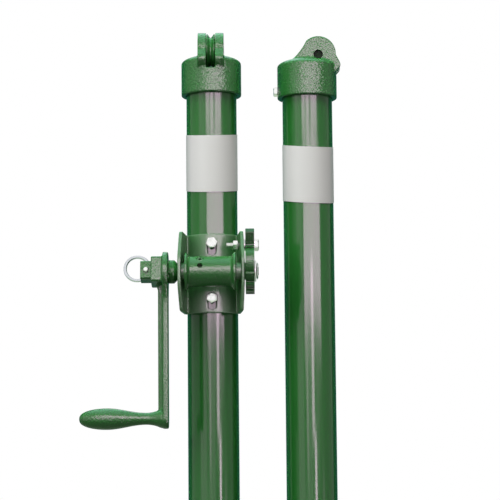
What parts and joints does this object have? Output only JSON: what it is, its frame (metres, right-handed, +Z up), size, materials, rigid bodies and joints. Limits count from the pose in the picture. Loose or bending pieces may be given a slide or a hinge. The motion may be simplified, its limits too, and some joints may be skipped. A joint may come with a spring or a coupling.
{
  "type": "net post pair",
  "caption": "Pair of round net posts: sheave caps on both, and a crank winch with drum, ratchet and pawl on one.",
  "frame": {"origin": "centre of the whole part's box, at the ground under the two feet", "axes": "+Z up along the posts, -Y to the side with the winch, +X from the winch post to the plain post"},
  "size_m": [0.3912, 0.1788, 1.5858],
  "materials": {
    "green_paint": "gloss powder coat",
    "zinc_plate": "bright zinc plate",
    "white_vinyl": "satin film"
  },
  "bodies": {
    "root": {"winch_post_tube": "green_paint", "winch_post_cap": "green_paint", "winch_post_axle": "green_paint", "winch_bracket": "green_paint", "left_bush": "green_paint", "right_bush": "green_paint", "plain_post_tube": "green_paint", "plain_post_cap": "green_paint", "plain_post_axle": "green_paint", "winch_post_cap_screw": "zinc_plate", "plain_post_cap_screw": "zinc_plate", "upper_bracket_bolt": "zinc_plate", "lower_bracket_bolt": "zinc_plate", "upper_bracket_nut": "zinc_plate", "lower_bracket_nut": "zinc_plate", "pawl_bolt": "zinc_plate", "pawl_nut": "zinc_plate", "pawl_spacer": "zinc_plate", "winch_post_label_band": "white_vinyl", "plain_post_label_band": "white_vinyl"},
    "winch_drum": {"drum": "green_paint", "drum_shaft": "green_paint", "drum_set_screw": "green_paint", "ratchet_wheel": "green_paint", "end_washer": "zinc_plate", "end_nut": "zinc_plate", "crank": "green_paint"},
    "pawl": {"pawl": "green_paint"},
    "linchpin": {"linchpin": "zinc_plate"},
    "linchpin_ring": {"linchpin_ring": "zinc_plate"},
    "winch_sheave": {"winch_post_sheave": "green_paint"},
    "plain_sheave": {"plain_post_sheave": "green_paint"}
  },
  "joints": [
    {"name": "winch_turn", "type": "hinge", "parent": "root", "child": "winch_drum", "pos_m": [-0.00166, -0.05602, 1.2148], "axis": [1, 0, 0], "continuous": true},
    {"name": "pawl_lift", "type": "hinge", "parent": "root", "child": "pawl", "pos_m": [-0.00166, -0.03585, 1.25615], "axis": [-1, 0, 0], "range_deg": [0, 105]},
    {"name": "linchpin_pull", "type": "slide", "parent": "winch_drum", "child": "linchpin", "axis": [0, 0.9848, -0.1736], "range_m": [0, 0.035]},
    {"name": "ring_swing", "type": "hinge", "parent": "linchpin", "child": "linchpin_ring", "pos_m": [-0.09704, -0.03726, 1.21149], "axis": [-0.6018, -0.1387, -0.7865], "range_deg": [0, 90]},
    {"name": "winch_sheave_turn", "type": "hinge", "parent": "root", "child": "winch_sheave", "pos_m": [-0.00166, 0.00048, 1.5573], "axis": [1, 0, 0], "continuous": true},
    {"name": "plain_sheave_turn", "type": "hinge", "parent": "root", "child": "plain_sheave", "pos_m": [0.16174, 0.04388, 1.5573], "axis": [0, 1, 0], "continuous": true}
  ]
}
